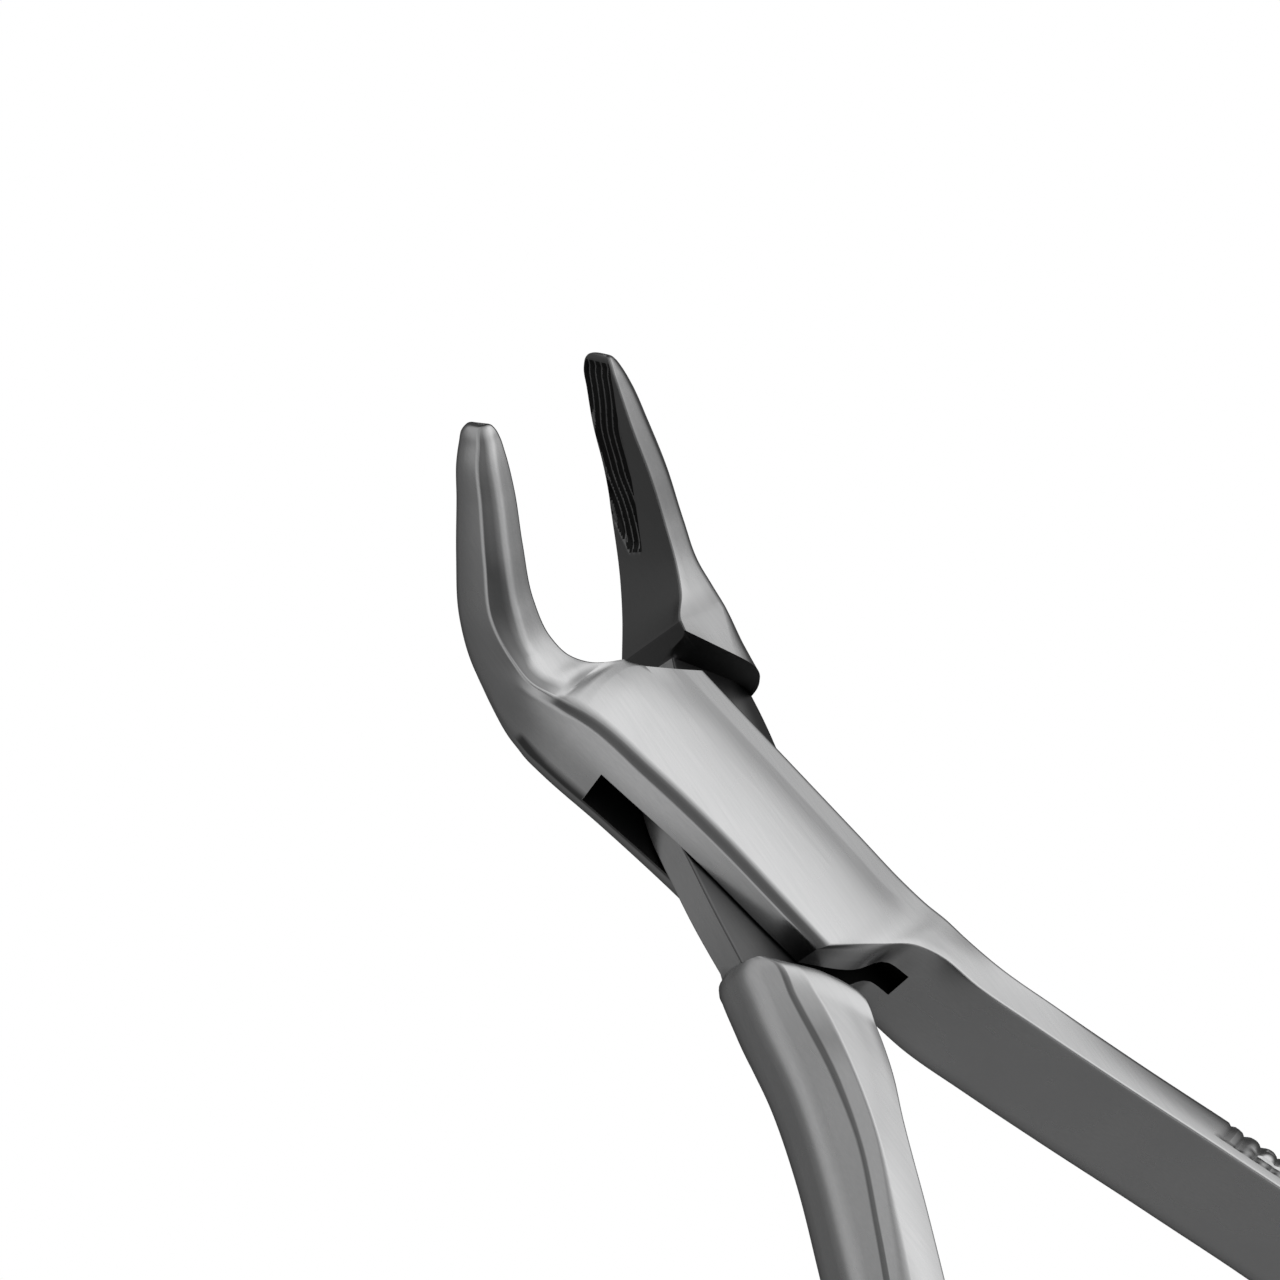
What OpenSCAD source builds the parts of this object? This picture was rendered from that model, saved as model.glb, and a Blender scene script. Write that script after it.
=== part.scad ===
// Extraction forceps for upper teeth, with a box joint.
// One half is a box with a slot. The waist of the other half passes through the
// slot, and a ground-flush pin holds the two together. Each half is one forging:
// beak, joint and handle. The forceps lie on a table with the beaks pointing to +X.
// The joint axis is the Z axis. Units are millimetres.

/* [Opening] */
// Angle between the two halves
opening_angle = 19; // [2:0.5:28]

/* [Box joint] */
// Height of the box, resting plane to top plate edge
box_height = 13.2; // [12.5:0.1:14]
// Extra height of the top plate along its middle line
crown_rise = 0.4; // [0.1:0.1:0.8]
// Underside of the slot above the resting plane
slot_bottom = 5.3; // [4.5:0.1:6]
// Height of the slot
slot_height = 4.1; // [3.5:0.1:5]
// Gap above and below the waist in the slot
waist_gap = 0.3; // [0.2:0.05:0.5]
// Radius of the round front end of the slot, about the joint axis
slot_front_radius = 15.1; // [14.5:0.1:15.5]
// Radius of the round rear end of the slot, about the joint axis
slot_rear_radius = 17.6; // [15:0.1:18]
// Radius of the joint pin
pin_radius = 2.5; // [1.5:0.1:3.5]
// Clearance between the pin and the bore of the waist
pin_clearance = 0.03; // [0.01:0.01:0.1]

/* [Beaks] */
// Depth of the lengthwise grooves in the beak faces
groove_depth = 0.28; // [0:0.02:0.5]
// Number of lengthwise grooves in each beak face
groove_count = 4; // [2:1:6]

/* [Handles] */
// Height of the handles
handle_height = 15; // [14:0.5:16]
// Steps along each beak, more is smoother
beak_steps = 30; // [10:1:40]
// Steps along each handle, more is smoother
handle_steps = 40; // [20:1:60]

/* [Hidden] */
half_angle = opening_angle / 2;
slot_top = slot_bottom + slot_height;
waist_bottom = slot_bottom + waist_gap;
waist_height = slot_height - 2 * waist_gap;
crown_radius = 36 / (2 * crown_rise);
left_side_angle = 2.5;
steel = [0.78, 0.79, 0.80];

// Beak stations: inner rear edge x, y, z, then lean of the section plane from
// upright, width from the rear edge to the front edge, and thickness.
beak_stations = [
    [10.5, 1.4, 12.2, 0, 10.2, 6.6],
    [17.0, 0.8, 12.6, 3, 11.6, 8.0],
    [20.0, 2.0, 12.9, 8, 11.5, 7.4],
    [22.6, 3.6, 12.7, 16, 10.6, 5.8],
    [25.0, 4.3, 13.1, 24, 9.6, 4.6],
    [28.5, 4.1, 14.8, 31, 8.5, 4.0],
    [32.8, 3.0, 17.9, 34, 7.3, 3.7],
    [36.9, 1.6, 20.8, 35, 6.2, 3.3],
    [39.9, 0.9, 22.7, 36, 5.2, 2.7],
    [41.8, 0.6, 23.7, 38, 4.3, 1.8],
    [42.9, 0.7, 23.8, 41, 2.6, 0.8]
];

// Handle stations: x, inner face y, thickness, bottom z and top z as shares of
// the handle height, and extra thickness at the shoulder of the inserted half.
handle_stations = [
    [-8.0, 0.9, 6.6, 0.04, 0.80, 0],
    [-14.0, 0.2, 7.1, 0.02, 0.86, 1.9],
    [-20.5, -1.6, 7.2, 0, 0.97, 0.6],
    [-28.0, -3.0, 7.0, 0, 1, 0.2],
    [-40.3, -6.5, 6.9, 0, 1, 0],
    [-52.8, -10.3, 6.9, 0, 1, 0],
    [-70.0, -14.9, 6.9, 0, 1, 0],
    [-90.0, -17.3, 6.8, 0, 1, 0],
    [-110.0, -16.2, 6.7, 0, 1, 0],
    [-126.0, -12.9, 6.4, 0.01, 0.99, 0],
    [-132.0, -12.0, 5.4, 0.10, 0.90, 0],
    [-134.2, -12.5, 3.2, 0.27, 0.73, 0]
];

// Smooth curve through the rows of a table, at place s counted in rows.
function blend(a, b, c, d, t) =
    0.5 * (2 * b + (c - a) * t + (2 * a - 5 * b + 4 * c - d) * t * t
    + (3 * b - a - 3 * c + d) * t * t * t);
function row_at(table, s) =
    let (last = len(table) - 1, i = min(floor(s), last - 1))
    blend(table[max(i - 1, 0)], table[i], table[i + 1], table[min(i + 2, last)], s - i);

// Groove depth at share u across the beak face, for a station place s.
function groove_fade(s) = s < 4.2 ? 0 : s < 4.8 ? (s - 4.2) / 0.6 : s < 9 ? 1 : 0;
function groove_shift(k, s) =
    (k % 2 == 1) ? groove_depth * groove_fade(s) : 0;

// Outline of one beak section: share of the width, share of the thickness,
// then a shift in millimetres.
function beak_outline(s) = concat(
    [[0, 0.10, 0], [0.02, 0.62, 0], [0.09, 0.86, 0], [0.20, 1, 0], [0.45, 0.97, 0],
     [0.68, 0.86, 0], [0.86, 0.66, 0], [0.97, 0.38, 0], [1, 0.14, 0], [0.94, 0, 0]],
    [for (k = [2 * groove_count : -1 : 0])
        [0.10 + 0.76 * k / (2 * groove_count), 0, groove_shift(k, s)]],
    [[0.03, 0, 0]]
);
function beak_section(s) =
    let (r = row_at(beak_stations, s))
    [for (p = beak_outline(s))
        [r[0] + p[0] * r[4] * sin(r[3]),
         r[1] + p[1] * r[5] + p[2],
         r[2] - p[0] * r[4] * cos(r[3])]];

// Outline of one handle section: share of the thickness, share of half the height.
handle_outline = [
    [0, 0.96], [0.04, 1], [0.50, 1], [0.63, 0.76], [0.80, 0.54], [0.94, 0.28],
    [1, 0], [0.94, -0.28], [0.80, -0.54], [0.63, -0.76], [0.50, -1],
    [0.04, -1], [0, -0.96]
];
function handle_section(s, swelling) =
    let (r = row_at(handle_stations, s), h = handle_height, thickness = r[2] + swelling * r[5],
         mid = h * (r[3] + r[4]) / 2, half = h * (r[4] - r[3]) / 2)
    [for (p = handle_outline) [r[0], r[1] - p[0] * thickness, mid + p[1] * half]];

// Outlines of the box across the joint, as y and z: the left and the right side.
left_outline = [[-20, 0], [3.4, 0], [6.9, 3.2], [7.6, 5.4], [7.2, 9.6], [6.8, 12.3], [6.2, 13.25],
    [6.2, 15], [-20, 15]];
right_outline = [[20, 0], [-3.8, 0], [-6.9, 3.2], [-7.3, 5.4], [-7.1, 9.6], [-6.6, 12.3],
    [-5.9, 13.25], [-5.9, 15], [20, 15]];

// Middle of a list of points.
function middle(points) = [for (k = [0 : 2]) [for (p = points) p[k]] * [for (p = points) 1]] / len(points);

// Solid skin over a list of sections with the same number of points. Each end is
// closed by a fan around its middle.
module skin(sections) {
    n = len(sections[0]);
    m = len(sections);
    outline_points = [for (row = sections) for (p = row) p];
    points = concat(outline_points, [middle(sections[0]), middle(sections[m - 1])]);
    sides = [for (i = [0 : m - 2]) for (j = [0 : n - 1])
        let (a = i * n + j, b = i * n + (j + 1) % n)
        each [[a, b, b + n], [a, b + n, a + n]]];
    start_fan = [for (j = [0 : n - 1]) [(j + 1) % n, j, m * n]];
    end_fan = [for (j = [0 : n - 1]) [(m - 1) * n + j, (m - 1) * n + (j + 1) % n, m * n + 1]];
    polyhedron(points = points, faces = concat(sides, start_fan, end_fan), convexity = 10);
}

// Beak on the +Y side, closed position.
module beak() {
    last = len(beak_stations) - 1;
    skin([for (i = [0 : beak_steps]) beak_section(last * i / beak_steps)]);
}

// Handle on the -Y side, closed position; swelling 1 adds the shoulder's thickness.
module handle(swelling) {
    last = len(handle_stations) - 1;
    skin([for (i = [0 : handle_steps]) handle_section(last * i / handle_steps, swelling)]);
}

// Outline of the top plate from above, with its slanted front and rear edges.
module plate_outline() {
    polygon([[10.9, -9.3], [13.4, -5.9], [17.9, 0], [17.9, 12], [-8.6, 12],
             [-13.4, 5.8], [-20.1, -2.4], [-20.1, -9.3]]);
}

// One side of the block: an outline across the joint, drawn out along X.
module drawn_out(side_outline) {
    translate([-24, 0, 0]) rotate([90, 0, 90]) linear_extrude(46) polygon(side_outline);
}

// Barrel-sided block around the slot, with a crowned top plate.
module box_block() {
    intersection() {
        translate([0, 0, -1]) linear_extrude(box_height + 3) plate_outline();
        rotate([0, 0, left_side_angle]) drawn_out(left_outline);
        drawn_out(right_outline);
        translate([-24, 0, box_height + crown_rise - crown_radius])
            rotate([0, 90, 0]) cylinder(r = crown_radius, h = 46, $fn = 180);
    }
}

// Space in the box for the waist, closed at two ends by round walls.
module slot_space() {
    translate([0, 0, slot_bottom]) linear_extrude(slot_height) {
        intersection() {
            circle(r = slot_front_radius, $fn = 96);
            translate([-6, -20]) square([30, 40]);
        }
        intersection() {
            circle(r = slot_rear_radius, $fn = 96);
            translate([-30, -20]) square([30, 40]);
        }
        polygon([[4, 0.1], [24, 0.1], [24, -12], [4, -12]]);
        polygon([[-4, -3.4], [-20.6, -3.4], [-20.6, -0.6], [-24, 2], [-24, 14], [-4, 14]]);
    }
}

// Outline of the waist from above, with its own beak on the +Y side: the middle,
// then the roots of the beak and the handle.
module waist_outline() {
    polygon([[-13.5, -2], [-12, -7.6], [4, -7.2], [8, -5.6], [11, -3], [13, 0], [14, 4], [13, 8.5],
        [5, 8.2], [-3, 7.6], [-9, 6.5], [-12.5, 3]]);
    polygon([[2, 1], [19, 1], [19, 7], [14.5, 8.6], [5, 8.2], [2, 7.9]]);
    polygon([[-2, -1], [-19, -1.8], [-19, -7.4], [-12, -7.6], [-2, -7.4]]);
}

// Waist slab of the inserted half.
module waist() {
    translate([0, 0, waist_bottom]) linear_extrude(waist_height) waist_outline();
}

// Space for the two plates of the box, between the shoulders of the inserted half.
module plate_space() {
    linear_extrude(30) polygon([[10.6, 9.6], [13.3, 6.9], [18.6, 1.8], [19.6, -9],
        [-12, -10.6], [-12.4, -7.9], [-21.4, -1.9], [-21.4, 12]]);
}

// Half with the slotted box, its beak on the +Y side.
module box_half() {
    color(steel) rotate([0, 0, half_angle]) difference() {
        union() {
            box_block();
            beak();
            handle(0);
        }
        slot_space();
        translate([0, 0, -1]) cylinder(r = pin_radius, h = box_height + 3, $fn = 64);
    }
}

// Half whose narrow waist passes through the slot.
module insert_half() {
    color(steel) rotate([0, 0, -half_angle]) mirror([0, 1, 0]) difference() {
        union() {
            difference() {
                union() {
                    beak();
                    handle(1);
                }
                translate([0, 0, waist_bottom + waist_height]) plate_space();
                translate([0, 0, waist_bottom - 30]) plate_space();
            }
            waist();
        }
        translate([0, 0, -1]) cylinder(r = pin_radius + pin_clearance, h = box_height + 3, $fn = 64);
    }
}

// Pin through the joint, pressed into both plates and ground flush.
module joint_pin() {
    color([0.70, 0.71, 0.72]) cylinder(r = pin_radius, h = box_height + crown_rise - 0.05, $fn = 64);
}

box_half();
insert_half();
joint_pin();
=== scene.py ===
"""Extraction forceps with a box joint, on a pale table, seen from the left above the joint.

The CAD frame gives the places. Both halves are rebuilt here as fine meshes: each is
one skin drawn through sections along its length, from the handle's end over the
joint to the beak's tip, and the slot and the pin's bore are then cut through it.
Lengths are in millimetres until a mesh is made; Blender gets metres.
"""

import bmesh
import bpy
import math
import numpy as np
from mathutils import Matrix, Vector


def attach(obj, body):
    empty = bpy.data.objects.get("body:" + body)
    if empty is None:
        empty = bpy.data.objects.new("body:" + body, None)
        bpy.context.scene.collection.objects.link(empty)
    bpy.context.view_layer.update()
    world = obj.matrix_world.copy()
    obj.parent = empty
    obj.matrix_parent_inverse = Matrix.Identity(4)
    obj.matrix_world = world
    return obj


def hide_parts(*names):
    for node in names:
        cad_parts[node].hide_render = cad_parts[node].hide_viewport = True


MM = 0.001
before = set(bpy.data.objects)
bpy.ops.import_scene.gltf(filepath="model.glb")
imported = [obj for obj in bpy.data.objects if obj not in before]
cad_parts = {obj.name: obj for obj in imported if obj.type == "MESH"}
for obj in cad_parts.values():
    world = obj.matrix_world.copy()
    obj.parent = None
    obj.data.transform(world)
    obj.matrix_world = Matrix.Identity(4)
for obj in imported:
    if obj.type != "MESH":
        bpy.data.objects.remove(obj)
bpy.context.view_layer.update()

# ---------------------------------------------------------------- sizes

HALF_OPENING = math.radians(9.5)
PLATE_TOP = 13.2           # edge of the top plate above the table
PLATE_HALF = 6.0           # half the width of the top plate
CROWN_RISE = 0.55          # rise of the plate along its middle line
SLOT = (5.3, 9.4)          # underside and top of the slot
WAIST = (5.6, 9.1)         # underside and top of the waist in it
SLOT_FRONT_RADIUS = 15.1   # round front end of the slot, about the joint axis
SLOT_REAR_RADIUS = 17.6    # round rear end of the slot
PIN_RADIUS = 2.5
BORE = (-2.0, 12.4)        # the bores end under the top plate, which hides the flush pin
PRESS_GAP = 0.01           # gap round the pin in the box, where it is pressed in
RUNNING_GAP = 0.04         # gap round the pin in the waist, which turns on it
PLATE_GROOVE = 0.13        # how far the plate dips at the line along its outer edge
EDGE = 0.22                # rounding of the ground edges
SOFT = 1.6                 # rounding where a section is a smooth curve

# Corners of a section, in order round it. On the handle T is its top face, L its
# inner face and R its back. On the box they are its top and its two sides. On the
# beak T4 is the inner rear edge, T5 the ridge, L the back, and R to T3 the inner face.
CORNERS = ["T1", "T2", "T3", "T4", "T4b", "T5", "L1", "L2", "L3", "L4", "L5",
           "B", "R5", "R4", "R3", "R2", "R1"]
C = {name: i for i, name in enumerate(CORNERS)}
INNER_FACE = ["B", "R5", "R4", "R3", "R2", "R1", "T1", "T2", "T3", "T4"]
STEM = ["T3", "T2", "T1", "R1", "R2", "R3", "R4", "R5"]
BELOW_TOP = ["L1", "L2", "L3", "L4", "L5"]
ALL_ROUND = len(CORNERS)
ARC_STEPS = 4
BETWEEN = {name: 2 for name in CORNERS}
BETWEEN.update({name: 8 for name in INNER_FACE[:-1]})
BETWEEN.update({"R4": 10, "R3": 10, "R2": 10})

# Handle, own side at -Y, joint closed: x, inner face y, thickness, bottom and top.
HANDLE_ROWS = [
    (-134.4, -12.7, 2.0, 6.2, 8.8),
    (-133.8, -12.4, 4.0, 3.6, 11.4),
    (-132.0, -12.0, 5.6, 1.5, 13.5),
    (-128.5, -12.4, 6.5, 0.3, 14.7),
    (-122.0, -13.9, 6.8, 0.0, 15.0),
    (-110.0, -16.2, 6.9, 0.0, 15.0),
    (-90.0, -17.3, 6.9, 0.0, 15.0),
    (-70.0, -15.0, 7.0, 0.0, 15.0),
    (-52.8, -10.3, 7.1, 0.0, 15.0),
    (-40.3, -6.5, 7.0, 0.0, 15.0),
    (-32.0, -4.1, 7.0, 0.0, 15.0),
]

# Beak, own side at +Y, joint closed: inner rear edge x, y, z, lean of the section
# from upright in degrees, width from the rear to the front edge, thickness, and
# how far down the section the ridge lies.
BEAK_ROWS = [
    (19.9, 1.8, 12.95, 7, 11.8, 7.5, 0.25),
    (22.6, 3.6, 12.7, 16, 10.6, 5.8, 0.27),
    (25.0, 4.3, 13.1, 24, 9.6, 4.5, 0.27),
    (28.5, 4.1, 14.8, 31, 8.5, 3.95, 0.27),
    (32.8, 3.0, 17.9, 34, 7.3, 3.65, 0.27),
    (36.9, 1.6, 20.8, 35, 6.2, 3.3, 0.27),
    (39.9, 0.9, 22.7, 36, 5.2, 2.7, 0.27),
]
INSERT_TIP_ROWS = [
    (41.6, 0.6, 23.65, 37, 4.6, 2.0, 0.25),
    (42.5, 0.6, 24.0, 39, 3.8, 1.3, 0.22),
    (42.95, 0.65, 24.05, 40, 2.9, 0.8, 0.2),
    (43.2, 0.7, 23.9, 41, 1.9, 0.45, 0.2),
    (43.3, 0.75, 23.6, 41, 0.7, 0.2, 0.2),
]
BOX_TIP_ROWS = [
    (41.2, 0.65, 23.35, 37, 4.45, 2.1, 0.25),
    (42.0, 0.68, 23.7, 38, 3.8, 1.6, 0.25),
    (42.5, 0.78, 23.75, 39, 2.9, 1.1, 0.25),
    (42.8, 0.92, 23.6, 40, 1.9, 0.62, 0.25),
    (42.95, 1.08, 23.3, 40, 0.8, 0.22, 0.25),
]
BEAK_FORM = {
    "T4": (0.0, 0.0), "T4b": (0.02, 0.62), "T5": (0.27, 1.0), "L1": (0.38, 0.99), "L2": (0.52, 0.97),
    "L3": (0.68, 0.92), "L4": (0.84, 0.80), "L5": (0.97, 0.52), "B": (1.0, 0.10), "R5": (0.965, 0.0),
    "R4": (0.87, 0.0), "R3": (0.75, 0.0), "R2": (0.63, 0.0), "R1": (0.50, 0.0), "T1": (0.37, 0.0),
    "T2": (0.24, 0.0), "T3": (0.12, 0.0),
}

# Grooves of the beaks, by x of the inner rear edge, and grip of the handles, by x.
GROOVE_PITCH = 0.92
GROOVE_DEPTH = 0.26
GROOVE_START, GROOVE_END = 26.4, 42.5
GROOVE_SLANT = 2.2         # how much further up the first groove starts
HOLLOW_DEPTH = 0.30
GRIP_START, GRIP_END = -129.0, -51.5
GRIP_PITCH = 1.85
GRIP_DEPTH = 0.5


def smoothstep(low, high, value):
    """0 below low, 1 above high, and a smooth rise between them."""
    t = np.clip((value - low) / (high - low), 0.0, 1.0)
    return t * t * (3 - 2 * t)


def crown(y):
    """Height of the top plate at y."""
    return PLATE_TOP + CROWN_RISE * (1 - (y / PLATE_HALF) ** 2)


# ---------------------------------------------------------------- sections


def handle_key(row):
    """Corners and edge radii of one handle section."""
    x, inner, thick, low, high = row
    k = thick / 7.1
    height = high - low
    rounded = float(smoothstep(-34, -50, x)) * min(1, height / 12)
    crease, bevel = 3.45 * k + 0.6 * rounded, 4.35 * k + 0.9 * rounded
    drop = 1.8 * min(1, height / 12) + 0.8 * rounded
    places = {
        "T1": (crease, high - rounded), "T2": (2.7 * k + 0.4 * rounded, high - 0.5 * rounded),
        "T3": (2.0 * k + 0.1 * rounded, high - 0.2 * rounded), "T4": (1.3 * k, high - 0.05 * rounded),
        "T4b": (0.6 * k, high), "T5": (0, high), "L1": (0, high - 0.2 * height),
        "L2": (0, high - 0.4 * height), "L3": (0, high - 0.6 * height), "L4": (0, low + 0.2 * height),
        "L5": (0, low), "B": (1.7 * k, low), "R5": (crease, low + rounded), "R4": (bevel, low + drop),
        "R3": (thick, low + 0.32 * height), "R2": (thick, high - 0.32 * height), "R1": (bevel, high - drop),
    }
    corners = {name: (x, inner - b, z) for name, (b, z) in places.items()}
    fold = EDGE + rounded
    edges = {"T1": fold, "T5": EDGE, "L5": EDGE, "R5": fold}
    edges.update({"R4": 0.15 + rounded, "R1": 0.15 + 0.2 * rounded})
    return corners, edges


def beak_key(row, shelf=0.62):
    """Corners and edge radii of one beak section; shelf is the flat share of its rear."""
    x, y, z, lean, width, thick, ridge = row
    along, down = math.sin(math.radians(lean)), math.cos(math.radians(lean))
    form = dict(BEAK_FORM)
    form["T4b"] = (0.02, shelf)
    form["T5"] = (ridge, 1.0)
    for name in ("L1", "L2", "L3", "L4"):
        a, b = form[name]
        form[name] = (ridge + (a - 0.27) / 0.73 * (1 - ridge), b)
    corners = {name: (x + a * width * along, y + b * thick, z - a * width * down)
               for name, (a, b) in form.items()}
    edges = {name: 0.1 for name in INNER_FACE}
    edges.update({"T4": EDGE, "T4b": 0.5, "T5": 0.25, "B": 0.35, "L5": 0.8})
    return corners, edges


def section(top, left, base, right, edges):
    """A section from lists of corners: T1 to T5, L1 to L5, B with R5, and R4 to R1."""
    names = ["T1", "T2", "T3", "T4", "T4b", "T5"]
    corners = dict(zip(names, top))
    corners.update(zip(["L1", "L2", "L3", "L4", "L5"], left))
    corners.update(zip(["B", "R5"], base))
    corners.update(zip(["R4", "R3", "R2", "R1"], right))
    return corners, edges


BOX_EDGES = {"T1": EDGE, "T2": 0.12, "R1": 0.5, "R3": 0.6, "T5": 0.15, "L1": 0.15, "L3": 0.3}


def box_rear_keys():
    """Sections from the handle over the curved rear wall to the box's rear corner."""
    edges = {"T1": EDGE, "T5": 0.15, "L5": EDGE, "R1": 0.4, "R4": 0.5}
    handle_end = section(
        [(-21.6, -5.8, 14.35), (-21.4, -4.9, 14.45), (-21.2, -4.0, 14.5), (-21.1, -3.2, 14.5),
         (-21.0, -2.6, 14.5), (-20.9, -2.0, 14.45)],
        [(-20.7, -1.75, 12.2), (-20.6, -1.6, 9.6), (-20.6, -1.6, 5.4), (-20.7, -1.7, 3.0), (-20.8, -1.9, 0)],
        [(-21.1, -3.4, 0), (-21.5, -5.4, 0)],
        [(-21.8, -6.8, 1.9), (-21.8, -8.6, 5.0), (-21.8, -8.6, 9.8), (-21.8, -6.9, 12.7)], edges)
    wall_end = section(
        [(-19.0, -5.9, 13.95), (-18.9, -4.9, 14.0), (-18.85, -3.8, 14.05), (-18.8, -2.8, 14.05),
         (-18.8, -1.9, 14.05), (-18.7, -1.15, 13.95)],
        [(-18.4, -0.95, 12.4), (-18.3, -1.05, 9.6), (-18.5, -1.1, 5.4), (-18.6, -1.2, 3.0), (-18.7, -1.6, 0)],
        [(-18.9, -3.4, 0), (-19.0, -5.0, 0)],
        [(-19.0, -6.85, 2.2), (-19.0, -8.0, 5.2), (-19.0, -8.0, 9.7), (-19.0, -6.9, 12.7)], edges)
    wall_middle = section(
        [(-17.0, -5.9, 13.5), (-17.0, -4.1, 13.6), (-16.95, -2.4, 13.65), (-16.85, -1.0, 13.65),
         (-16.7, 0.2, 13.6), (-16.5, 1.25, 13.5)],
        [(-16.35, 2.0, 12.4), (-16.45, 2.7, 9.6), (-16.9, 2.2, 5.4), (-16.9, 1.8, 3.0), (-17.0, 0.8, 0)],
        [(-17.1, -1.6, 0), (-17.1, -4.4, 0)],
        [(-17.1, -6.9, 2.6), (-17.1, -7.6, 5.3), (-17.1, -7.5, 9.6), (-17.1, -6.7, 12.5)], edges)
    rear_corner = section(
        [(-14.0, -5.9, 13.2), (-13.9, -3.9, crown(-3.9) - PLATE_GROOVE),
         (-13.8, -1.6, crown(-1.6)), (-13.7, 1.2, crown(1.2)),
         (-13.4, 3.6, crown(3.6)), (-13.15, 5.8, 13.2)],
        [(-12.7, 6.35, 12.3), (-12.4, 6.7, 9.6), (-12.3, 7.0, 5.4), (-12.6, 6.3, 3.0), (-13.4, 3.6, 0)],
        [(-13.8, -0.4, 0), (-14.0, -3.8, 0)],
        [(-14.0, -6.9, 3.0), (-14.0, -7.3, 5.4), (-14.0, -7.1, 9.6), (-14.0, -6.6, 12.3)], BOX_EDGES)
    return [handle_end, wall_end, wall_middle, rear_corner]


def box_middle_key(x, front_shift, left):
    """Section across the slotted box; left holds y of its edges T5, L1, L2, L3 and L4."""
    slope = front_shift
    top = [(x - 0.2 * slope, -5.9, 13.2), (x, -3.95, crown(-3.95) - PLATE_GROOVE),
           (x + 0.2 * slope, -1.8, crown(-1.8)),
           (x + 0.6 * slope, 0.8, crown(0.8)), (x + slope, 3.5, crown(3.5)), (x + slope, left[0], 13.2)]
    heights = [12.3, 9.6, 5.4, 3.0]
    side = [(x + slope, y, z) for y, z in zip(left[1:], heights)] + [(x + 0.7 * slope, 3.6, 0)]
    base = [(x + 0.3 * slope, 0.0, 0), (x, -3.8, 0)]
    right = [(x, -6.9, 3.0), (x, -7.3, 5.4), (x, -7.1, 9.6), (x, -6.6, 12.3)]
    return section(top, side, base, right, BOX_EDGES)


def box_front_keys():
    """Sections from the box's front edge over its nib to the root of the beak."""
    front = section(
        [(13.3, -5.9, 13.2), (14.7, -4.0, crown(-4) - 0.1), (16.2, -2.0, crown(-2)), (18.1, 0.0, 13.45),
         (18.5, 3.6, 13.4), (17.7, 7.5, 13.05)],
        [(17.5, 8.1, 12.2), (17.2, 8.75, 9.6), (17.0, 9.4, 5.4), (16.9, 8.8, 3.0), (17.0, 4.4, 0)],
        [(17.8, 0.3, 0), (14.9, -3.8, 0)],
        [(12.7, -6.9, 3.0), (12.5, -7.3, 5.4), (12.6, -7.1, 9.6), (12.9, -6.6, 12.3)], BOX_EDGES)
    edges = {"T4": EDGE, "T5": 0.2, "L1": 0.3, "L3": 0.5, "B": 0.3}
    nib = section(
        [None, None, None, (19.0, -0.1, 13.2), (19.5, 3.6, 13.1), (19.2, 7.9, 12.75)],
        [(19.1, 8.5, 11.8), (19.0, 9.0, 9.4), (18.9, 9.5, 5.4), (18.8, 8.8, 2.9), (18.9, 4.8, 0.3)],
        [(19.0, 0.7, 0.3), None], [None] * 4, edges)
    nib[0].update(column(18.95, 0.0, STEM, 12.6, 1.0))
    facet = section(
        [None, None, None, (20.0, 1.7, 13.05), (20.2, 5.0, 12.5), (20.1, 8.15, 12.6)],
        [(20.0, 8.7, 11.7), (19.9, 9.15, 9.3), (19.9, 9.5, 5.5), (19.9, 8.75, 3.0), (20.0, 5.2, 0.8)],
        [(20.1, 1.8, 0.8), None], [None] * 4, edges)
    facet[0].update(column(19.95, 1.6, STEM, 12.5, 1.5))
    root = section(
        [None, None, None, (20.9, 2.9, 13.0), (21.0, 5.8, 12.95), (20.9, 8.4, 12.4)],
        [(20.9, 8.9, 11.5), (20.9, 9.3, 9.2), (21.0, 9.45, 5.6), (21.1, 8.7, 3.1), (21.2, 5.6, 1.3)],
        [(21.2, 2.9, 1.3), None], [None] * 4, edges)
    root[0].update(column(20.9, 2.8, STEM, 12.4, 2.0))
    bend = section(
        [None, None, None, (22.8, 4.0, 12.8), (22.9, 6.9, 12.75), (23.1, 9.05, 12.1)],
        [(23.3, 9.35, 11.0), (23.6, 9.45, 8.9), (23.9, 9.2, 5.9), (24.2, 8.2, 3.9), (24.6, 6.2, 2.6)],
        [(24.8, 4.4, 2.8), None], [None] * 4, edges)
    for i, name in enumerate(STEM):
        t = (i + 1) / (len(STEM) + 1)
        bend[0][name] = (22.8 + 2.0 * t, 3.95, 12.8 - 9.8 * t)
    return [front, nib, facet, root, bend]


def column(x, y, names, top, bottom):
    """Corners down an upright line."""
    steps = len(names) - 1
    return {n: (x, y, top + (bottom - top) * i / steps) for i, n in enumerate(names)}


def waist_key(right_x, right_y, left_x, left_y):
    """One section of the waist, from its handle side to its beak side."""
    low, high = WAIST
    flank = 2.1
    width = math.hypot(left_x - right_x, left_y - right_y)
    way = (left_x - right_x) / width, (left_y - right_y) / width
    inner = left_x - flank * way[0], left_y - flank * way[1]
    corners = {}
    for i, name in enumerate(["T1", "T2", "T3", "T4", "T4b"]):
        t = i / 4
        corners[name] = (right_x + t * (inner[0] - right_x), right_y + t * (inner[1] - right_y), high)
    corners["B"] = ((right_x + left_x) / 2, (right_y + left_y) / 2, low)
    corners.update(column(left_x, left_y, ["T5", "L1", "L2", "L3", "L4", "L5"], high - 1.0, low))
    flare = 0.62
    for name, share in (("R1", 0.1), ("R2", 0.35), ("R3", 0.6), ("R4", 0.85), ("R5", 1.0)):
        drop = share * (high - low)
        corners[name] = (right_x + way[0] * -flare * share, right_y + way[1] * -flare * share, high - drop)
    return corners, {"T1": EDGE, "T5": 0.5, "T4b": 0.8, "L5": EDGE, "R5": EDGE}


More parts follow.
